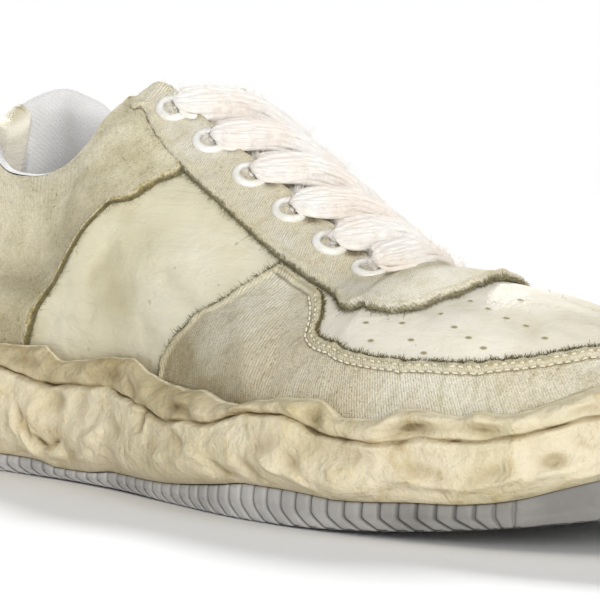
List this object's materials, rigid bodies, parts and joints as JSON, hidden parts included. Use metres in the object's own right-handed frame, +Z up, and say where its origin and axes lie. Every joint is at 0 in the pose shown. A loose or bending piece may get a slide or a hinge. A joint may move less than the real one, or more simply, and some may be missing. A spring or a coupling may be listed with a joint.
{
  "type": "worn sneaker",
  "caption": "Low worn sneaker, right foot: hollow upper with collar and throat openings, overlays, tongue, laces, lumpy cup midsole and ribbed outsole.",
  "frame": {"origin": "the middle of the heel's flat rest on the floor", "axes": "+X from heel to toe, +Y to the inner side of the foot, +Z up"},
  "size_m": [0.3124, 0.1247, 0.1186],
  "materials": {
    "grey_rubber": "matte, ribbed",
    "cream_rubber": "yellowed, satin, lumpy",
    "cream_leather": "soft, satin, creased",
    "worn_canvas": "brushed canvas with raw frayed edges",
    "white_lining": "padded mesh, matte",
    "insole_foam": "matte",
    "white_enamel": "glossy",
    "cotton_lace": "soft twisted cotton"
  },
  "bodies": {
    "root": {"outsole": "grey_rubber", "midsole": "cream_rubber", "upper": "cream_leather", "insole": "insole_foam", "tongue": "worn_canvas", "mudguard": "worn_canvas", "ankle_panel": "worn_canvas", "heel_tab": "cream_leather", "eyestay": "worn_canvas", "collar_lining": "white_lining", "eyelet_outer_1": "white_enamel", "eyelet_outer_2": "white_enamel", "eyelet_outer_3": "white_enamel", "eyelet_outer_4": "white_enamel", "eyelet_outer_5": "white_enamel", "eyelet_outer_6": "white_enamel", "eyelet_inner_1": "white_enamel", "eyelet_inner_2": "white_enamel", "eyelet_inner_3": "white_enamel", "eyelet_inner_4": "white_enamel", "eyelet_inner_5": "white_enamel", "eyelet_inner_6": "white_enamel", "lace": "cotton_lace"}
  },
  "joints": []
}
